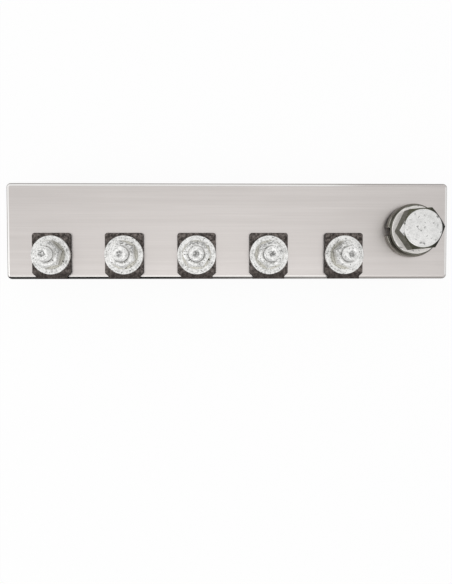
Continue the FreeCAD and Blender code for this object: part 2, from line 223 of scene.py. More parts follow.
class BusbarColours(PropertyGroup):
    """Colours of the finishes."""

    plating: colour_prop("Bar plating", "Brushed tin on the bar", (0.67, 0.63, 0.607))
    plating_pale: colour_prop("Bar plating, pale", "Paler streaks and wiped patches", (0.77, 0.728, 0.707))
    # Painted highlight on the bar's shoulders.
    plating_shoulder_highlight: colour_prop("Bar shoulder", "Burnished shoulders of the bar", (0.98, 0.965, 0.945))
    # Dull sheared sides, darkened as painted shade along the bar's outline.
    plating_side_and_shade: colour_prop("Bar side", "Dull sheared sides of the bar", (0.32, 0.302, 0.29))
    tab_dark: colour_prop("Tab", "Darkest tarnish on the fuse tabs", (0.036, 0.03, 0.027))
    tab_light: colour_prop("Tab, light", "Lighter mottling on the fuse tabs", (0.29, 0.252, 0.232))
    # Near black on the tabs' edges.
    tab_edge: colour_prop("Tab edge", "Blackened edges of the tabs", (0.012, 0.01, 0.009))
    # Near-black painted shade on the rounding of the bar's lower edge.
    tarnish: colour_prop("Tarnish", "Tarnish on the bar's lower edge", (0.008, 0.0075, 0.007))
    zinc: colour_prop("Zinc", "Bright zinc on bolts, nuts and flat washers", (0.97, 0.965, 0.95))
    zinc_side: colour_prop("Zinc sides", "Plainer zinc on flats and rear faces", (0.8, 0.795, 0.78))
    washer: colour_prop("Feed washer", "Warm white zinc on the feed bolt's flat washer", (0.98, 0.95, 0.92))
    zinc_stain: colour_prop("Zinc stain", "Duller specks and clouds in the zinc", (0.36, 0.36, 0.345))
    # Painted dark reflection on one side of the nuts.
    grease: colour_prop("Grease", "Dark grease rubbed onto one side of the nuts", (0.13, 0.13, 0.122))
    # Painted shade on the feed bolt's flats and chamfers and on its flat washer's rim.
    olive_painted_shade: colour_prop("Feed head flats", "Dull olive grey of the feed bolt's flats", (0.094, 0.094, 0.066))
    spring: colour_prop("Spring washers", "Grey zinc on spring steel", (0.6, 0.585, 0.53))
    spring_side: colour_prop("Spring washer sides", "Darker zinc on their sides", (0.46, 0.448, 0.385))
    # Painted shade all over the feed bolt's spring washer, under its flat washer.
    feed_spring_painted_shade: colour_prop("Feed spring washer", "Dark zinc under the feed bolt", (0.2, 0.185, 0.16))
    # Grime in pits, and painted shade in the hollow in the terminal bolts' ends.
    grime_and_hollow_shade: colour_prop("Grime", "Old grease in dimples and pits", (0.13, 0.13, 0.125))
    floor: colour_prop("Floor", "Paper under the object", (0.9, 0.9, 0.9))


class BusbarStage(PropertyGroup):
    """Light, floor and camera."""

    sky: level_prop("Sky", "Level of the light from all round", 0.95)
    overhead: level_prop("Overhead", "Level of the light straight overhead in reflections", 1.39)
    falloff: level_prop("Falloff", "How fast the light overhead falls off to the sides", 3.05)
    least: level_prop("Least", "Level below which the light overhead doesn't fall", 0.62)
    walls: level_prop("Walls", "Level of the room's walls in reflections", 0.88)
    right_wall: level_prop("Right wall", "Share of that level on the right", 0.82, subtype="FACTOR")
    near_wall: level_prop("Near wall", "Share of that level on the near side", 0.45, subtype="FACTOR")
    key: level_prop("Key light", "Power of the softbox on the left", 0.25, unit="POWER")
    key_size: length_prop("Key light size", "Side of that softbox", 0.25)
    key_place: place_prop("Key light place", "Where that softbox stands", (-0.5, -0.12, 0.25))
    lens: level_prop("Lens", "Focal length", 30, unit="CAMERA")
    shift: FloatProperty(
        name="Shift", description="Sideways shift, in pixels of the long side", default=12, subtype="PIXEL",
    )
    place: place_prop("Camera place", "Where the camera stands", (-0.009925, -0.019444, 0.218019))
    turn: FloatVectorProperty(
        name="Camera turn", description="How the camera is turned from straight down", size=3,
        default=(math.radians(-1.702), math.radians(-1.052), math.radians(-0.083)), subtype="EULER",
    )


class Number:
    """A number that varies over a surface. Arithmetic on it adds Math nodes to its finish."""

    def __init__(self, finish, socket):
        self.finish = finish
        self.socket = socket

    def maths(self, operation, first, second):
        sockets = {"Value": first, "Value_001": second}
        return self.finish.number("ShaderNodeMath", {"operation": operation}, sockets)

    def at_least(self, other):
        return self.maths("MAXIMUM", self, other)

    def __add__(self, other):
        return self.maths("ADD", self, other)

    def __sub__(self, other):
        return self.maths("SUBTRACT", self, other)

    def __rsub__(self, other):
        return self.maths("SUBTRACT", other, self)

    def __mul__(self, other):
        return self.maths("MULTIPLY", self, other)

    __radd__ = __add__
    __rmul__ = __mul__


class Finish:
    """A material or world under construction, with one method that adds its nodes."""

    def __init__(self, tree):
        self.tree = tree
        tree.nodes.clear()

    def add(self, kind, settings=None, sockets=None):
        """Add a node: its settings are set first, then the values or links of its sockets."""
        node = self.tree.nodes.new(kind)
        for name, value in (settings or {}).items():
            setattr(node, name, value)
        for name, value in (sockets or {}).items():
            socket = self.find(node.inputs, name)
            if isinstance(value, Number):
                value = value.socket
            if isinstance(value, bpy.types.NodeSocket):
                self.tree.links.new(value, socket)
            elif isinstance(value, (tuple, Color)) and len(value) < len(socket.default_value):
                socket.default_value = (*value, 1)
            else:
                socket.default_value = value
        return node

    def find(self, sockets, name):
        """The socket with an identifier, or else the first one with a name."""
        by_identifier = [socket for socket in sockets if socket.identifier == name]
        return (by_identifier or [socket for socket in sockets if socket.name == name])[0]

    def number(self, kind, settings=None, sockets=None, output="Value"):
        return Number(self, self.find(self.add(kind, settings, sockets).outputs, output))

    def place(self, scale=(1, 1, 1), turn=(0, 0, 0)):
        """Object coordinates, stretched or turned for a pattern."""
        here = self.add("ShaderNodeTexCoord").outputs["Object"]
        sockets = {"Vector": here, "Scale": scale, "Rotation": turn}
        return self.add("ShaderNodeMapping", sockets=sockets).outputs["Vector"]

    def component(self, vector, axis):
        """One of the three numbers of a vector."""
        return self.number("ShaderNodeSeparateXYZ", sockets={"Vector": vector}, output=axis)

    def position(self, axis):
        """Where the surface lies along one of the part's own axes, in metres."""
        return self.component(self.place(), axis)

    def facing(self, axis):
        """How far the surface faces along one of the part's own axes, from -1 to 1."""
        return self.component(self.add("ShaderNodeTexCoord").outputs["Normal"], axis)

    def noise(self, where, scale, detail=3, roughness=0.55):
        sockets = {"Vector": where, "Scale": scale, "Detail": detail, "Roughness": roughness}
        return self.number("ShaderNodeTexNoise", sockets=sockets, output="Fac")

    def specks(self):
        """The fine specks of zinc wear."""
        return self.noise(self.place(), SPECK_SCALE, roughness=0.6)

    def stored(self, name):
        """A number stored at the corners of a turned piece."""
        return self.number("ShaderNodeAttribute", {"attribute_name": name}, output="Fac")

    def rings(self):
        """Noise in rings round a turned piece's own axis."""
        where = self.add("ShaderNodeCombineXYZ", sockets={"X": self.stored(FROM_AXIS)}).outputs["Vector"]
        return self.noise(where, RING_SCALE)

    def along(self, vector, direction):
        """How far a vector points along a fixed direction."""
        sockets = {"Vector": vector, "Vector_001": direction}
        return self.number("ShaderNodeVectorMath", {"operation": "DOT_PRODUCT"}, sockets)

    def rays(self):
        """One for the camera's own rays, and one for rays in reflections and glass."""
        path = self.add("ShaderNodeLightPath").outputs
        names = ("Is Camera Ray", "Is Glossy Ray", "Is Transmission Ray")
        camera, glossy, through = (Number(self, path[name]) for name in names)
        return camera, glossy.at_least(through)

    def ramp(self, value, low, high):
        """From 0 at one value to 1 at another, smoothly and without overshoot."""
        sockets = {"Value": value, "From Min": low, "From Max": high}
        return self.number("ShaderNodeMapRange", {"interpolation_type": "SMOOTHSTEP"}, sockets, "Result")

    def blend(self, share, first, second):
        """A colour between two others."""
        sockets = {"Factor_Float": share, "A_Color": first, "B_Color": second}
        mix = self.add("ShaderNodeMix", {"data_type": "RGBA"}, sockets)
        return self.find(mix.outputs, "Result_Color")

    def bump(self, height, strength):
        sockets = {"Height": height, "Strength": strength, "Distance": BUMP_DEPTH}
        return self.add("ShaderNodeBump", sockets=sockets).outputs["Normal"]

    def mix_shader(self, share, first, second):
        sockets = {"Fac": share, "Shader": first.outputs[0], "Shader_001": second.outputs[0]}
        return self.add("ShaderNodeMixShader", sockets=sockets)

    def surface(self, sockets):
        shader = self.add("ShaderNodeBsdfPrincipled", sockets=sockets)
        self.add("ShaderNodeOutputMaterial", sockets={"Surface": shader.outputs["BSDF"]})


def new_finish(name):
    material = bpy.data.materials.new(name)
    material.use_nodes = True
    return material, Finish(material.node_tree)


def brushed_plating_with_painted_light(colours):
    """Tin plating brushed along the bar, with a painted highlight on its shoulders and dull sheared sides
    darkened as painted shade.

    The painted highlight on the shoulders is halved along the lower edge, and left off both long edges near
    the feed bolt.
    The rounding of the lower edge carries near-black painted shade, less and less from the bar's far end to
    the feed bolt.
    """
    material, finish = new_finish("brushed_plating_with_painted_light")
    hairs = finish.noise(finish.place((30, 2400, 2400)), 1, 2)
    streaks = finish.noise(finish.place((9, 420, 420)), 1)
    wipes = finish.noise(finish.place((18, 60, 60), (0, 0, 0.4)), 1)
    scratch = finish.ramp(finish.noise(finish.place((16, 1200, 1200), (0, 0, 0.07)), 1, 1), 0.7, 0.76)
    up = finish.facing("Z")
    across = finish.facing("Y")
    lengthways = finish.position("X")
    shoulder = finish.ramp(up * up, 0.9985, 0.98)
    side = finish.ramp(up * up, 0.75, 0.5)
    pale = finish.ramp(0.45 * streaks + 0.35 * hairs + 0.4 * wipes + 0.15 * scratch, 0.35, 0.95)
    face = finish.blend(pale, colours.plating, colours.plating_pale)
    # Painted highlight on the shoulders, halved along the lower edge and left off the long edges near the
    # feed bolt.
    highlight_left_off = finish.ramp(across * across, 0.0005, 0.01) * finish.ramp(lengthways, *HIGHLIGHT_LEFT_OFF_ALONG)
    shoulder_highlight = shoulder * (1 - highlight_left_off) * (1 - 0.5 * finish.ramp(across, -0.02, -0.1))
    rolled = finish.blend(shoulder_highlight, face, colours.plating_shoulder_highlight)
    uneven = 0.75 + 0.5 * streaks
    # Dull sides, darkened as painted shade along the bar's outline.
    sheared = finish.blend(side * uneven, rolled, colours.plating_side_and_shade)
    # Near-black painted shade on the rounding of the lower edge, fading towards the feed bolt.
    lower = finish.ramp(across, -0.36, -0.48) * finish.ramp(up, 0.08, 0.25)
    lower = lower * finish.ramp(lengthways, *LOWER_EDGE_SHADE_ALONG)
    finish.surface({
        "Base Color": finish.blend(lower * uneven, sheared, colours.tarnish),
        "Metallic": 1,
        "Roughness": 0.28 + 0.1 * hairs + 0.08 * wipes - 0.06 * shoulder + 0.14 * side,
        "Normal": finish.bump(hairs + 0.6 * streaks + 0.5 * scratch, 0.12),
    })
    return material


def tarnished_tab(colours):
    """Dark mottled tarnish on rolled strip, near black along its edges and darker towards its neck."""
    material, finish = new_finish("tarnished_tab")
    blotches = finish.noise(finish.place(), 700, 4, 0.65)
    grain = finish.noise(finish.place((1, 0.35, 1)), 2600)
    specks = finish.ramp(finish.noise(finish.place(), 1500, 2), 0.6, 0.72)
    edge = finish.ramp(finish.facing("Z"), 0.98, 0.75) * (0.6 + 0.5 * blotches)
    mottle = finish.ramp(0.75 * blotches + 0.3 * grain + 0.3 * specks, 0.42, 0.76)
    neck = finish.ramp(finish.position("Y"), *NECK_ACROSS)
    tarnish = finish.blend(mottle * (1 - 0.6 * neck), colours.tab_dark, colours.tab_light)
    finish.surface({
        "Base Color": finish.blend(edge, tarnish, colours.tab_edge),
        "Metallic": 0.85,
        "Roughness": 0.36 + 0.24 * mottle,
        "Normal": finish.bump(0.6 * blotches + 0.4 * grain, 0.3),
    })
    return material


def terminal_zinc(name, colours, dark_reflection_share=0, hollow=0):
    """Zinc on nuts, flat washers and terminal bolts, bright and blotched on their front faces.

    A painted dark reflection can be laid on one side of a nut. Painted shade, in the grime colour, darkens
    the end of a bolt within the radius of its hollow, in millimetres.
    """
    material, finish = new_finish(name)
    specks = finish.specks()
    clouds = finish.noise(finish.place(), 520)
    rings = finish.rings()
    up = finish.facing("Z")
    front = finish.ramp(up, 0.2, 0.7)
    dull = finish.ramp(0.55 * specks + 0.25 * rings + 0.35 * clouds, 0.52, 0.7) * (0.2 + 0.8 * front)
    plain = finish.blend(front, colours.zinc_side, colours.zinc)
    tint = finish.blend(0.65 * dull, plain, colours.zinc_stain)
    pits = finish.ramp(finish.noise(finish.place(), 1300, 2), 0.6, 0.68) * front
    tint = finish.blend(0.85 * pits, tint, colours.grime_and_hollow_shade)
    if dark_reflection_share:
        # Painted dark reflection in spots on the side of each nut towards one point.
        spotted = front * finish.ramp(specks, 0.36, 0.56)
        wiped = spotted + 0.55 * (1 - front) * finish.ramp(clouds, 0.36, 0.56)
        dark_reflection_patch = finish.ramp(finish.stored(DARK_REFLECTION_SIDE), 0.45, 0.9) * wiped
        ring = finish.ramp(finish.stored(FROM_AXIS), *DARK_REFLECTION_RING)
        tint = finish.blend(dark_reflection_share * dark_reflection_patch * ring, tint, colours.grease)
    if hollow:
        # Painted shade in the hollow in a bolt's end, broken up by specks.
        hollow_shade = finish.ramp(finish.stored(FROM_AXIS), hollow, 0.6 * hollow) * finish.ramp(up, 0.3, 0.6)
        tint = finish.blend(0.9 * hollow_shade * finish.ramp(specks, 0.3, 0.6), tint, colours.grime_and_hollow_shade)
    finish.surface({
        "Base Color": tint,
        "Metallic": 0.75 - 0.25 * front,
        "Roughness": 0.26 + 0.2 * dull,
        "Normal": finish.bump((0.05 + 0.55 * front) * specks + 0.3 * rings + 0.3 * clouds, 0.35),
    })
    return material


def plated_metal(name, colour, side, steep, metal=1, rubbed=None):
    """Zinc plating on forged or coiled steel, with another tone on steep faces.

    That tone starts and is full at two squares of how far a face looks up or down, and is darker as painted
    shade on faces that look right. Faces that look up can carry a painted highlight, from one place along
    the bar on to another, in metres.
    """
    material, finish = new_finish(name)
    specks = finish.specks()
    clouds = finish.noise(finish.place(), 330)
    grain = finish.noise(finish.place(), 4200, 2)
    rings = finish.rings()
    up = finish.facing("Z")
    slope = finish.ramp(up * up, *steep)
    # Painted highlight: faces that look up lose the steep tone over a stretch along the bar.
    if rubbed is not None:
        slope = slope * (1 - finish.ramp(finish.position("X"), *rubbed) * finish.ramp(up, 0.6, 0.8))
    dull = finish.ramp(0.5 * specks + 0.3 * rings + 0.35 * clouds, 0.5, 0.76)
    pits = finish.ramp(finish.noise(finish.place(), 760, 0), 0.66, 0.82)
    plating = finish.blend(0.65 * dull, colour, 0.55 * colour)
    plating = finish.blend(0.8 * pits, plating, 0.25 * colour)
    # Painted shade: steep faces that look right and a little up are darker still.
    right_painted_shade = finish.ramp(finish.facing("X"), 0.05, 0.4) * finish.ramp(up, 0.05, 0.3)
    steep_tone = finish.blend(right_painted_shade, side, 0.15 * side)
    finish.surface({
        "Base Color": finish.blend(slope * (0.8 + 0.4 * specks), plating, steep_tone),
        "Metallic": metal,
        "Roughness": 0.2 + 0.16 * dull + 0.1 * slope,
        "Normal": finish.bump(0.4 * specks + 0.35 * rings + 0.25 * grain, 0.2),
    })
    return material


def feed_zinc_with_painted_light(colours, rubbed):
    # Olive painted shade on the head's flats and chamfers, with a painted highlight at its left corner.
    return plated_metal("feed_zinc_with_painted_light", colours.zinc, colours.olive_painted_shade, (0.96, 0.85), rubbed=rubbed)


def feed_washer_zinc_with_painted_light(colours, rubbed):
    # Olive painted shade on the washer's rim, with a painted highlight on its left.
    return plated_metal("feed_washer_zinc_with_painted_light", colours.washer, colours.olive_painted_shade, (0.998, 0.95), 0.2, rubbed)


def spring_zinc(colours):
    return plated_metal("spring_zinc", colours.spring, colours.spring_side, (0.4, 0.08))


def feed_spring_zinc_with_painted_light(colours, rubbed):
    """Painted shade all over, on level faces too, because both squares are above that of any face; a
    painted highlight spares its left rim.
    """
    return plated_metal("feed_spring_zinc_with_painted_light", colours.spring, colours.feed_spring_painted_shade, (1.2, 1.1), rubbed=rubbed)


def wire(bm, corners, closed=False):
    """Wire edges through corners given as radius and height, in the XZ plane."""
    verts = [bm.verts.new((radius, 0, height)) for radius, height in corners]
    ends = verts[1:] + verts[:1] if closed else verts[1:]
    return [bm.edges.new(pair) for pair in zip(verts, ends)]


def turn_wire(bm, angle=math.tau, climb=0):
    """Spin all wire in the mesh about the upright axis, and close and orient what comes out."""
    full = angle == math.tau
    bmesh.ops.spin(
        bm, geom=bm.verts[:] + bm.edges[:], cent=(0, 0, 0), axis=UPWARDS, dvec=(0, 0, climb / ROUND_STEPS),
        angle=angle, steps=ROUND_STEPS, use_merge=full, use_normal_flip=False, use_duplicate=False,
    )
    bmesh.ops.remove_doubles(bm, verts=bm.verts, dist=NEAR)
    if not full:
        rims = [edge for edge in bm.edges if edge.is_boundary]
        bmesh.ops.holes_fill(bm, edges=rims, sides=0)
    bmesh.ops.recalc_face_normals(bm, faces=bm.faces)


def turn_verts(bm, verts, angle):
    bmesh.ops.rotate(bm, cent=(0, 0, 0), matrix=Matrix.Rotation(angle, 3, "Z"), verts=verts)


def round_edges(bm, edges, radius, segments):
    bmesh.ops.bevel(
        bm, geom=edges, offset=radius, offset_type="OFFSET", affect="EDGES", segments=segments,
        profile=0.5, material=-1, clamp_overlap=True,
    )


def soften(bm, radius, segments=2):
    """Round every edge that turns sharply, and merge the corners that this brings together."""
    bm.normal_update()
    sharp = [e for e in bm.edges if e.is_manifold and e.calc_face_angle() > SHARP_EDGE]
    round_edges(bm, sharp, radius, segments)
    bmesh.ops.remove_doubles(bm, verts=bm.verts, dist=NEAR)


def push_to_hexagon(bm, sizes, flats, corner, ends):
    """Bring a wall turned at a radius of one width across flats in to a hexagon.

    Each end is a height and the way inwards from it, 1 or -1. The hexagon has a sloping rim there.
    """
    rim = flats / 2 - mm(sizes.hex_rim)
    for vert in bm.verts:
        radius = math.hypot(vert.co.x, vert.co.y)
        if abs(radius - flats) > NEAR:
            continue
        off_middle = (math.atan2(vert.co.y, vert.co.x) - corner) % HEX_SIDE - HEX_SIDE / 2
        reach = flats / 2 / math.cos(off_middle)
        vert.co.xy *= reach / radius
        for end, inwards in ends:
            if abs(vert.co.z - end) < NEAR:
                vert.co.z += inwards * (reach - rim) * math.tan(sizes.hex_slope)
                break


def shape_hexagon(bm, sizes, node, ends):
    """Spin the half section of a bolt or nut, give it its node's six flats and soften its edges."""
    turn_wire(bm)
    corner = corner_angle(node)
    turn_verts(bm, bm.verts, corner)
    push_to_hexagon(bm, sizes, across_flats(node), corner, ends)
    soften(bm, mm(sizes.soft_edge))


def bolt_wire(bm, sizes, flats, shank, heights):
    """The half section of a bolt, from the middle of its head to the rim of its thread's end.

    The heights are those of the head's end, its seat, the start of the bare thread and its end.
    """
    head_end, seat, bare, thread_end = heights
    inwards = math.copysign(1, thread_end - head_end)
    rim = flats / 2 - mm(sizes.hex_rim)
    face = seat - inwards * mm(sizes.washer_face)
    chamfer = mm(sizes.thread_chamfer)
    edges = wire(bm, (
        (0, head_end), (rim, head_end), (flats, head_end), (flats, face), (rim, face), (rim, seat),
        (shank, seat), (shank, bare),
        (shank, thread_end - inwards * chamfer), (shank - chamfer, thread_end),
    ))
    for edge in edges[-2:]:
        bmesh.ops.subdivide_edges(bm, edges=[edge], cuts=int(edge.calc_length() / THREAD_STEP))


def cut_thread(bm, crest, pitch, low, high):
    """Cut a screw thread into a turned shank between two heights."""
    depth = THREAD_DEPTH * pitch
    for vert in bm.verts:
        radius = math.hypot(vert.co.x, vert.co.y)
        if not low < vert.co.z < high or radius < crest - depth:
            continue
        turn = vert.co.z / pitch - math.atan2(vert.co.y, vert.co.x) / math.tau
        off_groove = abs(turn % 1 - 0.5) * 2
        groove = min(max((CREST_START - off_groove) / FLANK_WIDTH, 0), 1)
        fade = min(1, (vert.co.z - low) / pitch, (high - vert.co.z) / (SHORT_RUNOUT * pitch))
        vert.co.xy *= min(radius, crest - depth * groove * max(fade, 0)) / radius


def is_upright(edge):
    run = edge.verts[1].co - edge.verts[0].co
    return abs(run.z) > UPRIGHT * run.length


def is_level_at(item, height):
    return all(abs(vert.co.z - height) < NEAR for vert in item.verts)


def pierce(bm, low, high, holes):
    """Cut round holes through a plate: open its two faces, fill them round the rims, join the rims."""
    rims = []
    for height in (low, high):
        face = max((f for f in bm.faces if is_level_at(f, height)), key=lambda f: f.calc_area())
        border = face.edges[:]
        bmesh.ops.delete(bm, geom=[face], context="FACES_ONLY")
        rings = []
        for x, y, radius in holes:
            place = Matrix.Translation((x, y, height))
            made = bmesh.ops.create_circle(bm, segments=ROUND_STEPS, radius=radius, matrix=place)
            rings.append(list({edge for vert in made["verts"] for edge in vert.link_edges}))
        bmesh.ops.triangle_fill(bm, use_beauty=True, edges=border + sum(rings, []))
        rims.append(rings)
    for lower, upper in zip(*rims):
        bmesh.ops.bridge_loops(bm, edges=lower + upper)
    bmesh.ops.recalc_face_normals(bm, faces=bm.faces)


def new_mesh(name, bm):
    mesh = bpy.data.meshes.new(name)
    bm.to_mesh(mesh)
    bm.free()
    return mesh


def new_object(name, data):
    made = bpy.data.objects.new(name, data)
    bpy.context.scene.collection.objects.link(made)
    return made


def finish_piece(bm, node, material, axis=None):
    """Make the mesh an object that stands for a node of the frame, moved to its axis if it was turned."""
    if axis is not None:
        distance = bm.verts.layers.float.new(FROM_AXIS)
        smeared = bm.verts.layers.float.new(DARK_REFLECTION_SIDE)
        towards_dark_reflection = (DARK_REFLECTION_TOWARDS - axis).xy.normalized()
        for vert in bm.verts:
            vert[distance] = vert.co.xy.length
            vert[smeared] = vert.co.xy.normalized().dot(towards_dark_reflection)
        bmesh.ops.translate(bm, vec=axis, verts=bm.verts)
    bmesh.ops.scale(bm, vec=(MM, MM, MM), verts=bm.verts)
    name = f"dressed_{node}"
    mesh = new_mesh(name, bm)
    mesh.shade_smooth()
    mesh.set_sharp_from_angle(angle=CREASE)
    mesh.materials.append(material)
    piece = new_object(name, mesh)
    weighted = piece.modifiers.new("even_shading", "WEIGHTED_NORMAL")
    weighted.keep_sharp = True
    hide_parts(node)
    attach(piece, BODY)


class BUSBAR_OT_plated_bar(Operator):
    """Model the bar, with rounded edges and its holes"""

    bl_idname = "busbar.plated_bar"
    bl_label = "Plated bar"

    def execute(self, context):
        sizes = context.scene.busbar_sizes
        low, high = node_box("busbar")
        bm = bmesh.new()
        block = Matrix.Translation((low + high) / 2) @ Matrix.Diagonal((high - low).to_4d())
        bmesh.ops.create_cube(bm, size=1, matrix=block)
        upright = [e for e in bm.edges if is_upright(e)]
        round_edges(bm, upright, mm(sizes.bar_corner), segments=8)
        level = [e for e in bm.edges if is_level_at(e, low.z) or is_level_at(e, high.z)]
        round_edges(bm, level, mm(sizes.bar_edge), segments=6)
        axes = [node_axis("feed_bolt"), *(node_axis(f"terminal_bolt_{place}") for place in PLACES)]
        pierce(bm, low.z, high.z, [(axis.x, axis.y, node_reach("busbar", axis)[0]) for axis in axes])
        finish_piece(bm, "busbar", brushed_plating_with_painted_light(context.scene.busbar_colours))
        return {"FINISHED"}


class BUSBAR_OT_fuse_tabs(Operator):
    """Model the dark tabs that lie on the bar"""

    bl_idname = "busbar.fuse_tabs"
    bl_label = "Fuse tabs"

    def execute(self, context):
        sizes = context.scene.busbar_sizes
        finish = tarnished_tab(context.scene.busbar_colours)
        neck = mm(sizes.tab_neck_width) / 2
        for place in PLACES:
            node = f"fuse_tab_{place}"
            low, high = node_box(node)
            axis = node_axis(f"terminal_bolt_{place}")
            bend = low.y + mm(sizes.tab_neck_length)
            shoulder = bend + mm(sizes.tab_shoulder)
            bm = bmesh.new()
            right = ((axis.x + neck, low.y), (axis.x + neck, bend), (high.x, shoulder), (high.x, high.y))
            left = [(2 * axis.x - x, y) for x, y in reversed(right)]
            outline = bm.faces.new([bm.verts.new((x, y, low.z)) for x, y in (*right, *left)])
            grown = bmesh.ops.extrude_face_region(bm, geom=[outline])
            top = [item for item in grown["geom"] if isinstance(item, bmesh.types.BMVert)]
            bmesh.ops.translate(bm, vec=(0, 0, high.z - low.z), verts=top)
            bmesh.ops.recalc_face_normals(bm, faces=bm.faces)
            top_corners = [e for e in bm.edges if is_upright(e) and e.verts[0].co.y > high.y - NEAR]
            round_edges(bm, top_corners, mm(sizes.tab_corner), segments=6)
            face_edges = [e for e in bm.edges if is_level_at(e, high.z)]
            round_edges(bm, face_edges, mm(sizes.tab_edge), segments=3)
            pierce(bm, low.z, high.z, [(axis.x, axis.y, node_reach(node, axis)[0])])
            finish_piece(bm, node, finish)
        return {"FINISHED"}


class BUSBAR_OT_terminal_bolts(Operator):
    """Model the bolts that come through the bar from behind"""

    bl_idname = "busbar.terminal_bolts"
    bl_label = "Terminal bolts"

    def execute(self, context):
        sizes = context.scene.busbar_sizes
        dimple = mm(sizes.dimple) / 2
        finish = terminal_zinc("bolt_zinc", context.scene.busbar_colours, hollow=dimple)
        pitch = mm(sizes.terminal_pitch)
        seat = node_box("busbar")[0].z
        for place in PLACES:
            node = f"terminal_bolt_{place}"
            nut = f"terminal_nut_{place}"
            low, high = node_box(node)
            axis = node_axis(node)
            bare = node_box(nut)[1].z - TURNS_IN_NUT * pitch
            shank = node_reach(nut, axis)[0] - mm(sizes.thread_clearance)
            rim = shank - mm(sizes.thread_chamfer)
            bm = bmesh.new()
            bolt_wire(bm, sizes, across_flats(node), shank, (low.z, seat, bare, high.z))
            wire(bm, ((rim, high.z), (dimple, high.z), (0, high.z - mm(sizes.dimple_depth))))
            shape_hexagon(bm, sizes, node, ((low.z, 1),))
            cut_thread(bm, shank, pitch, bare, high.z + pitch)
            finish_piece(bm, node, finish, axis)
        return {"FINISHED"}


class BUSBAR_OT_flat_washers(Operator):
    """Model the flat washers of the terminals and the feed bolt"""

    bl_idname = "busbar.flat_washers"
    bl_label = "Flat washers"

    def execute(self, context):
        sizes = context.scene.busbar_sizes
        colours = context.scene.busbar_colours
        small = (terminal_zinc("washer_zinc", colours), mm(sizes.washer_edge))
        # Stretch of the painted highlight on the feed washer's left.
        rubbed = along_bar(node_axis("feed_flat_washer").x, WASHER_HIGHLIGHT)
        large = (feed_washer_zinc_with_painted_light(colours, rubbed), mm(sizes.feed_washer_edge))
        washers = {f"terminal_washer_{place}": small for place in PLACES}
        washers["feed_flat_washer"] = large
        for node, (finish, edge) in washers.items():
            low, high = node_box(node)
            axis = node_axis(node)
            inner, outer = node_reach(node, axis)
            bm = bmesh.new()
            wire(bm, ((inner, low.z), (outer, low.z), (outer, high.z), (inner, high.z)), closed=True)
            turn_wire(bm)
            soften(bm, edge, segments=3)
            finish_piece(bm, node, finish, axis)
        return {"FINISHED"}


class BUSBAR_OT_spring_washers(Operator):
    """Model the closed spring washers of the terminals and the open one under the feed bolt"""

    bl_idname = "busbar.spring_washers"
    bl_label = "Spring washers"

    def execute(self, context):
        sizes = context.scene.busbar_sizes
        colours = context.scene.busbar_colours
        finish = spring_zinc(colours)
        for place in PLACES:
            node = f"terminal_spring_washer_{place}"
            low, high = node_box(node)
            axis = node_axis(f"terminal_bolt_{place}")
            inner, outer = node_reach(node, axis)
            middle = (inner + outer) / 2
            gap = mm(sizes.terminal_spring_gap) / middle
            start = sizes.spring_first + sizes.spring_step * (place - 1) + gap
            bm = self.coil(inner, outer, low.z, high.z - low.z, 0, start, gap)
            upper = [vert for vert in bm.verts if vert.co.z > (low.z + high.z) / 2]
            turn_verts(bm, upper, mm(sizes.terminal_spring_lean) / middle)
            soften(bm, mm(sizes.soft_edge))
            finish_piece(bm, node, finish, axis)
        node = "feed_spring_washer"
        low, high = node_box(node)
        axis = node_axis("feed_bolt")
        inner, outer = node_reach(node, axis)
        thickness = mm(sizes.feed_spring_thickness)
        climb = high.z - low.z - thickness
        bm = self.coil(inner, outer, low.z, thickness, climb, sizes.feed_spring_end, sizes.feed_spring_gap)
        soften(bm, mm(sizes.feed_spring_edge))
        # Painted shade on the spring washer, with a painted highlight on its left rim.
        finish = feed_spring_zinc_with_painted_light(colours, along_bar(axis.x - outer, SPRING_HIGHLIGHT))
        finish_piece(bm, node, finish, axis)
        return {"FINISHED"}

    def coil(self, inner, outer, base, thickness, climb, start, gap):
        """A flat section carried round the axis, from just after the gap to just before it."""
        bm = bmesh.new()
        top = base + thickness
        wire(bm, ((inner, base), (outer, base), (outer, top), (inner, top)), closed=True)
        turn_verts(bm, bm.verts, start)
        turn_wire(bm, math.tau - gap, climb)
        return bm


class BUSBAR_OT_hexagon_nuts(Operator):
    """Model the nuts of the terminals and of the feed bolt"""

    bl_idname = "busbar.hexagon_nuts"
    bl_label = "Hexagon nuts"

    def execute(self, context):
        sizes = context.scene.busbar_sizes
        colours = context.scene.busbar_colours
        # Painted dark reflection on one side of the terminal nuts.
        smeared = terminal_zinc("nut_zinc", colours, dark_reflection_share=0.7)
        finishes = {f"terminal_nut_{place}": smeared for place in PLACES}
        finishes["feed_nut"] = terminal_zinc("feed_nut_zinc", colours)
        sink = mm(sizes.countersink)
        for node, finish in finishes.items():
            low, high = node_box(node)
            axis = node_axis(node)
            bore = node_reach(node, axis)[0]
            flats = across_flats(node)
            rim = flats / 2 - mm(sizes.hex_rim)
            bm = bmesh.new()
            wire(bm, (
                (bore + sink, low.z), (rim, low.z), (flats, low.z), (flats, high.z), (rim, high.z),
                (bore + sink, high.z), (bore, high.z - sink), (bore, low.z + sink),
            ), closed=True)
            shape_hexagon(bm, sizes, node, ((low.z, 1), (high.z, -1)))
            finish_piece(bm, node, finish, axis)
        return {"FINISHED"}


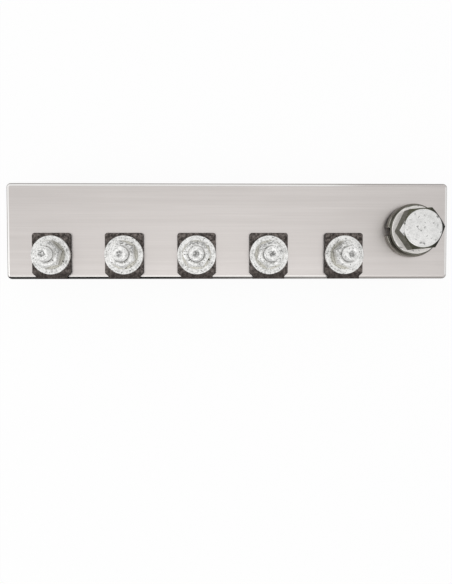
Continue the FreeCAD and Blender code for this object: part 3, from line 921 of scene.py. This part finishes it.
class BUSBAR_OT_feed_bolt(Operator):
    """Model the feed bolt, with its head in front of the bar"""

    bl_idname = "busbar.feed_bolt"
    bl_label = "Feed bolt"

    def execute(self, context):
        sizes = context.scene.busbar_sizes
        node = "feed_bolt"
        low, high = node_box(node)
        axis = node_axis(node)
        flats = across_flats(node)
        pitch = mm(sizes.feed_pitch)
        seat = node_box("feed_flat_washer")[1].z
        bare = node_box("feed_nut")[0].z + TURNS_IN_NUT * pitch
        shank = node_reach("feed_nut", axis)[0] - mm(sizes.thread_clearance)
        bm = bmesh.new()
        bolt_wire(bm, sizes, flats, shank, (high.z, seat, bare, low.z))
        wire(bm, ((shank - mm(sizes.thread_chamfer), low.z), (0, low.z)))
        shape_hexagon(bm, sizes, node, ((high.z, -1),))
        cut_thread(bm, shank, pitch, low.z - pitch, bare)
        # Stretch of the painted highlight at the head's left corner.
        rubbed = along_bar(axis.x - flats / 2, HEAD_HIGHLIGHT)
        finish_piece(bm, node, feed_zinc_with_painted_light(context.scene.busbar_colours, rubbed), axis)
        return {"FINISHED"}


class BUSBAR_OT_stage(Operator):
    """Set up the floor, the light and the camera"""

    bl_idname = "busbar.stage"
    bl_label = "Stage"

    def execute(self, context):
        stage = context.scene.busbar_stage
        self.make_floor(context.scene.busbar_colours)
        self.make_room(context.scene, stage)
        self.make_key(stage)
        self.make_camera(context.scene, stage)
        context.scene.view_settings.view_transform = "Standard"
        return {"FINISHED"}

    def make_floor(self, colours):
        """White paper that keeps the object's shadow, and can be looked through from below."""
        bm = bmesh.new()
        bmesh.ops.create_grid(bm, x_segments=1, y_segments=1, size=FLOOR_HALF)
        mesh = new_mesh("floor", bm)
        floor = new_object("floor", mesh)
        material, finish = new_finish("white_paper")
        lit = finish.add("ShaderNodeBsdfDiffuse", sockets={"Color": colours.floor})
        white = finish.add("ShaderNodeEmission", sockets={"Color": (1, 1, 1), "Strength": 1})
        clear = finish.add("ShaderNodeBsdfTransparent")
        camera, mirrored = finish.rays()
        lifted = finish.mix_shader(PAPER_LIFT * (camera + mirrored), lit, white)
        backs = finish.add("ShaderNodeNewGeometry").outputs["Backfacing"]
        sheet = finish.mix_shader(backs, lifted, clear)
        finish.add("ShaderNodeOutputMaterial", sockets={"Surface": sheet.outputs["Shader"]})
        mesh.materials.append(material)

    def make_room(self, scene, stage):
        """A white room, brightest overhead. In reflections its right and near walls are darker."""
        world = bpy.data.worlds.new("white_room")
        world.use_nodes = True
        scene.world = world
        finish = Finish(world.node_tree)
        towards = finish.add("ShaderNodeTexCoord").outputs["Generated"]
        overhead = finish.ramp(finish.along(towards, UPWARDS), *CEILING_FADE)
        glow = stage.overhead - stage.falloff * (1 - finish.along(towards, BRIGHTEST))
        right = finish.ramp(finish.along(towards, RIGHT_WALL), *RIGHT_WALL_FADE)
        near = finish.ramp(finish.along(towards, NEAR_WALL), *NEAR_WALL_FADE)
        walls = (1 - (1 - stage.right_wall) * right) * (1 - (1 - stage.near_wall) * near)
        room = overhead * glow.at_least(stage.least) + stage.walls * (1 - overhead) * walls
        camera, mirrored = finish.rays()
        level = stage.sky + (1 - stage.sky) * camera + mirrored * (room - stage.sky)
        light = finish.add("ShaderNodeBackground", sockets={"Color": (1, 1, 1), "Strength": level})
        finish.add("ShaderNodeOutputWorld", sockets={"Surface": light.outputs["Background"]})

    def make_key(self, stage):
        """A softbox on the left, turned to the object."""
        lamp = bpy.data.lights.new("softbox", "AREA")
        lamp.energy = stage.key
        lamp.size = stage.key_size
        softbox = new_object("softbox", lamp)
        softbox.location = stage.key_place
        softbox.rotation_euler = (-softbox.location).to_track_quat("-Z", "Y").to_euler()

    def make_camera(self, scene, stage):
        data = bpy.data.cameras.new("camera")
        data.lens = stage.lens
        data.shift_x = stage.shift / IMAGE_LONG_SIDE
        data.clip_start = CLIP_START
        camera = new_object("camera", data)
        camera.location = stage.place
        camera.rotation_euler = stage.turn
        scene.camera = camera


STEPS = (
    BUSBAR_OT_plated_bar,
    BUSBAR_OT_fuse_tabs,
    BUSBAR_OT_terminal_bolts,
    BUSBAR_OT_flat_washers,
    BUSBAR_OT_spring_washers,
    BUSBAR_OT_hexagon_nuts,
    BUSBAR_OT_feed_bolt,
    BUSBAR_OT_stage,
)


class BUSBAR_PT_panel(Panel):
    """The steps that make the fuse busbar, with its colours, its sizes and its stage"""

    bl_idname = "BUSBAR_PT_panel"
    bl_label = "Fuse busbar"
    bl_space_type = "VIEW_3D"
    bl_region_type = "UI"
    bl_category = "Fuse busbar"

    def draw(self, context):
        for step in STEPS:
            self.layout.operator(step.bl_idname)
        for group in (context.scene.busbar_colours, context.scene.busbar_sizes, context.scene.busbar_stage):
            for name in group.bl_rna.properties.keys():
                if name not in ("name", "rna_type"):
                    self.layout.prop(group, name)


CLASSES = (BusbarSizes, BusbarColours, BusbarStage, *STEPS, BUSBAR_PT_panel)


def register():
    for item in CLASSES:
        bpy.utils.register_class(item)
    bpy.types.Scene.busbar_sizes = PointerProperty(type=BusbarSizes)
    bpy.types.Scene.busbar_colours = PointerProperty(type=BusbarColours)
    bpy.types.Scene.busbar_stage = PointerProperty(type=BusbarStage)


def unregister():
    del bpy.types.Scene.busbar_stage
    del bpy.types.Scene.busbar_colours
    del bpy.types.Scene.busbar_sizes
    for item in reversed(CLASSES):
        bpy.utils.unregister_class(item)


def main():
    register()
    bpy.ops.busbar.plated_bar()
    bpy.ops.busbar.fuse_tabs()
    bpy.ops.busbar.terminal_bolts()
    bpy.ops.busbar.flat_washers()
    bpy.ops.busbar.spring_washers()
    bpy.ops.busbar.hexagon_nuts()
    bpy.ops.busbar.feed_bolt()
    bpy.ops.busbar.stage()


if __name__ == "__main__":
    main()
